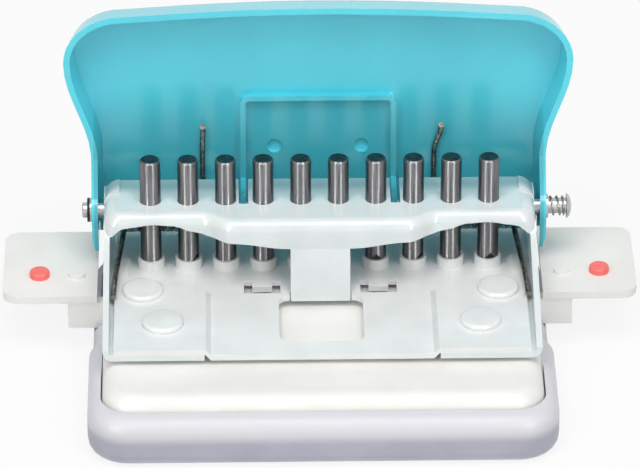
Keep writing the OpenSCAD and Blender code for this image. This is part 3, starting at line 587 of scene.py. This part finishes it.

# %% [markdown]
# ## Springs
# A spring is one wire, so it is drawn as a curve with a round section and made a mesh. The return springs hang on
# the hinge shaft: the foot stands on the guide plate, the coil runs along the shaft and the arm lies along the
# lever's inside. When the lever swings, every turn of the coil winds up a little. The cut ends of the wire are
# bright.

# %% Wires
def wire(name, points, diameter_mm):
    """A round wire through points given in millimetres."""
    bpy.ops.object.select_all(action="DESELECT")
    bpy.ops.curve.primitive_nurbs_path_add()
    piece = bpy.context.active_object
    piece.name = name
    line = piece.data
    line.splines.clear()
    path = line.splines.new("NURBS")
    path.points.add(len(points) - 1)
    for spot, point in zip(path.points, points):
        spot.co = (*(Vector(point) * MM), 1.0)
    path.use_endpoint_u = True
    path.order_u = 4
    path.resolution_u = 3
    line.dimensions = "3D"
    line.bevel_depth = diameter_mm * MM / 2
    line.bevel_resolution = 3
    line.use_fill_caps = True
    settle(piece)
    bpy.ops.object.convert(target="MESH")
    bpy.ops.object.shade_smooth_by_angle(angle=math.radians(40))
    piece = bpy.context.active_object
    piece.data.materials.clear()
    piece.data.materials.append(spring_wire)
    piece.data.materials.append(bright_steel)
    for face in piece.data.polygons:
        face.material_index = 1 if len(face.vertices) > 4 else 0
    return piece


# %% [markdown]
# Each return spring is drawn for the left side and mirrored for the right. The arm runs back below the lever's
# tail and then up its inside, so that it swings down behind the top plate's edge and lies between two pins when
# the lever is pressed.

# %% Return springs
RETURN_WIRE, COIL_RADIUS, COIL_TURNS = 1.44, 4.25, 9
DEGREES_A_POINT = 20
coil_start_x, coil_end_x = -49.8, -31.0
coil_z = hinge_z - 1.08
foot_angle, arm_angle = -101.0, -80.0
foot_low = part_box("return_spring_left")[0]
foot_x, foot_z = foot_low.x / MM + RETURN_WIRE / 2, foot_low.z / MM + 0.6


def lever_spot(x, along, out):
    """A point by its distance along the raised lever and out from the hinge axis."""
    return (x, hinge_y + out * math.cos(LEVER_LEAN) + along * math.sin(LEVER_LEAN),
            hinge_z - out * math.sin(LEVER_LEAN) + along * math.cos(LEVER_LEAN))


def return_spring(side, sign, tip_lean):
    """One return spring as foot, coil and arm."""
    foot = [(foot_x, -19.4, foot_z), (foot_x, -18.4, foot_z), (foot_x, -17.8, foot_z + 0.1),
            (foot_x + 0.3, -13.0, foot_z + 1.3), (foot_x + 1.4, -2.0, foot_z + 2.6),
            (foot_x + 2.2, 4.5, foot_z + 3.4)]
    sweep = 360 * COIL_TURNS + arm_angle - foot_angle
    steps = round(sweep / DEGREES_A_POINT)
    coil = []
    for k in range(steps + 1):
        turn = math.radians(foot_angle + sweep * k / steps)
        coil.append((coil_start_x + (coil_end_x - coil_start_x) * k / steps,
                     hinge_y + COIL_RADIUS * math.cos(turn), coil_z + COIL_RADIUS * math.sin(turn)))
    gap_x, arm_out = coil_end_x + 1.4, 10.13
    tip_x = gap_x + tip_lean
    arm = [lever_spot(*spot) for spot in (
        (coil_end_x + 0.3, -4.4, 4.2), (coil_end_x + 0.8, -3.8, 6.6), (gap_x, -3.2, 9.0),
        (gap_x, -2.6, arm_out), (gap_x, -0.6, arm_out), (gap_x, 3.0, arm_out), (gap_x, 8.0, arm_out),
        (gap_x, 13.0, arm_out), (tip_x, 16.4, arm_out), (tip_x, 17.8, arm_out),
        (tip_x, 18.2, arm_out - 0.1), (tip_x, 18.6, arm_out - 0.8), (tip_x, 19.0, arm_out - 1.6))]
    points = [(sign * -x, y, z) for x, y, z in foot + coil + arm]
    piece = wire("return_spring_%s_wire" % side, points, RETURN_WIRE)
    node = "return_spring_" + side
    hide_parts(node)
    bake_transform(piece)
    print(piece.name, len(piece.data.polygons), "faces")


return_spring("left", -1, tip_lean=0.2)
return_spring("right", 1, tip_lean=-1.8)

# %% [markdown]
# The small spring under the shaft's head has two open turns and a closed one, and shortens with the shaft's
# play. The open turns share most of its length, and the closed one takes the rest.

# %% Small spring
small_low, small_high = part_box("shaft_spring")
small_wire_mm, small_turns, closed_part = 0.5, 3, 0.17
open_share = (small_turns - 1) / small_turns
small_steps = small_turns * 360 // DEGREES_A_POINT
small_start = small_low.x / MM + small_wire_mm / 2
small_end = small_high.x / MM - small_wire_mm / 2
small_radius = (small_high.z - small_low.z) / MM / 2 - small_wire_mm / 2
helix = []
for k in range(small_steps + 1):
    share, turn = k / small_steps, math.radians(DEGREES_A_POINT * k)
    if share < open_share:
        along = (1 - closed_part) * share / open_share
    else:
        along = 1 - closed_part * (1 - share) / (1 - open_share)
    helix.append((small_start + (small_end - small_start) * along,
                  hinge_y + small_radius * math.cos(turn), hinge_z + small_radius * math.sin(turn)))
small_spring = wire("shaft_spring_wire", helix, small_wire_mm)
hand_over(small_spring, "shaft_spring", spring_wire)
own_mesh(small_spring)

# %% [markdown]
# ## Studio
# A pale floor and soft light. World and floor are white to the camera and in reflections, and dimmer as
# lamps, so that white parts keep their shading and the floor keeps a soft shadow.

# %% Floor and world
def white_to_rays(owner, share):
    """A value of share for rays from the camera, off a mirror or through glass, and 0 for all others."""
    rays = add(owner, "ShaderNodeLightPath")
    seen = rays.outputs["Is Camera Ray"]
    for kind in ("Is Glossy Ray", "Is Transmission Ray"):
        either = add(owner, "ShaderNodeMath", {"operation": "MAXIMUM"}, Value=seen,
                     Value_001=rays.outputs[kind])
        seen = either.outputs[0]
    scaled = add(owner, "ShaderNodeMath", {"operation": "MULTIPLY"}, Value=seen, Value_001=share)
    return scaled.outputs[0]


bpy.ops.object.select_all(action="DESELECT")
bpy.ops.mesh.primitive_plane_add(size=6.0)
floor = bpy.context.active_object
floor.name = "studio_floor"
floor_paint, shader = finish("pale_studio_floor", roughness=0.9)
shader.inputs["Base Color"].default_value = linear("#f4f4f4")
glow = add(floor_paint, "ShaderNodeEmission", Strength=1.0)
floor_mix = add(floor_paint, "ShaderNodeMixShader", Fac=white_to_rays(floor_paint, 0.85),
                Shader=shader.outputs["BSDF"], Shader_001=glow.outputs["Emission"])
floor_surface = floor_paint.node_tree.nodes["Material Output"].inputs["Surface"]
floor_paint.node_tree.links.new(floor_mix.outputs["Shader"], floor_surface)
floor.data.materials.append(floor_paint)

world = bpy.data.worlds.new("studio")
world.use_nodes = True
scene.world = world
sky = world.node_tree.nodes["Background"]
sky.inputs["Color"].default_value = (1, 1, 1, 1)
level = add(world, "ShaderNodeMapRange", Value=white_to_rays(world, 1.0), To_Min=0.3, To_Max=1.0)
world.node_tree.links.new(level.outputs["Result"], sky.inputs["Strength"])
print("stage:", floor.name, "and world", world.name)

# %% [markdown]
# Soft lamps stand left and right of the camera and above. A lamp that is large for its distance makes soft
# shadows, as in a product photograph. Two tall, narrow strips show only in reflections: each draws a bright
# stripe along every pin.

# %% Lamps
LAMP_AIM = Vector((0.0, -0.01, 0.04))


def lamp(name, place, width, height, watts):
    """A soft rectangular lamp that looks at the middle of the machine."""
    bpy.ops.object.light_add(type="AREA", location=place)
    made = bpy.context.active_object
    made.name = name
    made.data.shape = "RECTANGLE"
    made.data.size = width
    made.data.size_y = height
    made.data.energy = watts
    made.rotation_euler = (LAMP_AIM - Vector(place)).to_track_quat("-Z", "Y").to_euler()
    print(name, watts, "W")
    return made


def strip_spot(side_degrees, height_degrees, distance):
    """A place by its angle beside the camera's line, its angle above the table and its distance."""
    side, up = math.radians(side_degrees), math.radians(height_degrees)
    along_floor = distance * math.cos(up)
    return (along_floor * math.sin(side), -along_floor * math.cos(side), distance * math.sin(up))


lamp("left_lamp", strip_spot(-35, 40, 1.2), width=0.5, height=0.6, watts=2.1)
lamp("right_lamp", strip_spot(35, 40, 1.2), width=0.5, height=0.6, watts=1.9)
lamp("top_lamp", (0.0, -0.4, 1.15), width=0.9, height=0.6, watts=7.6)
for side_name, side_degrees in (("left", -35), ("right", 28)):
    glint = lamp(side_name + "_glint_strip", strip_spot(side_degrees, 18, 1.2),
                 width=0.07, height=0.9, watts=9.0)
    glint.visible_diffuse = False
scene.view_settings.view_transform = "Standard"
